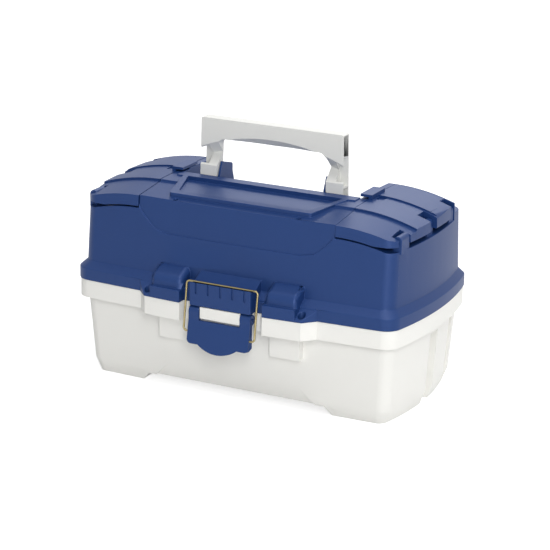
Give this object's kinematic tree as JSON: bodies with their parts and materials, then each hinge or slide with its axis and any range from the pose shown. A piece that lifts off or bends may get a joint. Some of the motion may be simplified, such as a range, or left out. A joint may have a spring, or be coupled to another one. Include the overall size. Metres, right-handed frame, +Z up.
{
  "type": "fishing tackle cabinet",
  "caption": "Portable tackle cabinet: drafted tub, deep hinged lid with topside bins, cantilever trays, draw latch and folding handle.",
  "frame": {"origin": "middle of the whole cabinet, on the surface that its feet stand on", "axes": "+X along the cabinet to the right as seen from the latch, +Y from the latch to the rear hinge, +Z up"},
  "size_m": [0.362, 0.2208, 0.2566],
  "materials": {
    "tub_plastic": "fine satin",
    "lid_plastic": "satin, faintly metallic",
    "handle_plastic": "satin",
    "tray_plastic": "satin",
    "divider_plastic": "satin",
    "arm_plastic": "satin",
    "bail_wire": "bright drawn wire",
    "pin_steel": "plain"
  },
  "bodies": {
    "root": {"tub": "tub_plastic", "lid_hinge_pins": "pin_steel", "latch_pin": "pin_steel", "tub_arm_rivets": "pin_steel"},
    "lid": {"lid": "lid_plastic", "handle_pins": "pin_steel", "door_hinge_pins": "pin_steel"},
    "right_door": {"bin_door_right": "lid_plastic"},
    "left_door": {"bin_door_left": "lid_plastic"},
    "handle": {"carry_handle": "handle_plastic"},
    "lever": {"latch_lever": "lid_plastic"},
    "bail": {"latch_bail": "bail_wire"},
    "rear_arms": {"rear_tray_arm_right": "arm_plastic", "rear_tray_arm_left": "arm_plastic"},
    "front_arms": {"front_tray_arm_right": "arm_plastic", "front_tray_arm_left": "arm_plastic"},
    "tray_lower": {"lower_tray": "tray_plastic", "lower_tray_dividers": "divider_plastic", "lower_tray_rivets": "pin_steel"},
    "tray_upper": {"upper_tray": "tray_plastic", "upper_tray_dividers": "divider_plastic", "upper_tray_rivets": "pin_steel", "tray_lead_pins": "pin_steel"}
  },
  "joints": [
    {"name": "lid_hinge", "type": "hinge", "parent": "root", "child": "lid", "pos_m": [0, 0.10595, 0.104], "axis": [-1, 0, 0], "range_deg": [0, 95]},
    {"name": "right_door_hinge", "type": "hinge", "parent": "lid", "child": "right_door", "pos_m": [0.1633, 0.00895, 0.1805], "axis": [0, 1, 0], "range_deg": [0, 110]},
    {"name": "left_door_hinge", "type": "hinge", "parent": "lid", "child": "left_door", "pos_m": [-0.1633, 0.00895, 0.1805], "axis": [0, -1, 0], "range_deg": [0, 110]},
    {"name": "handle_fold", "type": "hinge", "parent": "lid", "child": "handle", "pos_m": [0, 0.00565, 0.186], "axis": [-1, 0, 0], "range_deg": [0, 90]},
    {"name": "latch_lever_pivot", "type": "hinge", "parent": "root", "child": "lever", "pos_m": [0, -0.09955, 0.093], "axis": [-1, 0, 0], "range_deg": [0, 114]},
    {"name": "latch_bail_pivot", "type": "hinge", "parent": "lever", "child": "bail", "pos_m": [0, -0.10525, 0.0735], "axis": [1, 0, 0], "range_deg": [0, 285]},
    {"name": "rear_arm_pivot", "type": "hinge", "parent": "root", "child": "rear_arms", "pos_m": [0, 0.08095, 0.092], "axis": [-1, 0, 0], "range_deg": [0, 95]},
    {"name": "front_arm_pivot", "type": "hinge", "parent": "root", "child": "front_arms", "pos_m": [0, 0.02495, 0.092], "axis": [-1, 0, 0], "range_deg": [0, 95]},
    {"name": "lower_tray_pivot", "type": "hinge", "parent": "rear_arms", "child": "tray_lower", "pos_m": [0, 0.03595, 0.092], "axis": [-1, 0, 0], "range_deg": [-95, 0]},
    {"name": "upper_tray_pivot", "type": "hinge", "parent": "rear_arms", "child": "tray_upper", "pos_m": [0, -0.00905, 0.092], "axis": [-1, 0, 0], "range_deg": [-95, 0]}
  ],
  "couplings": [
    {"joint": "latch_lever_pivot", "follows": "lid_hinge", "ratio": 1.2},
    {"joint": "latch_bail_pivot", "follows": "lid_hinge", "ratio": 3},
    {"joint": "rear_arm_pivot", "follows": "lid_hinge", "ratio": 1},
    {"joint": "front_arm_pivot", "follows": "lid_hinge", "ratio": 1},
    {"joint": "lower_tray_pivot", "follows": "lid_hinge", "ratio": -1},
    {"joint": "upper_tray_pivot", "follows": "lid_hinge", "ratio": -1}
  ]
}
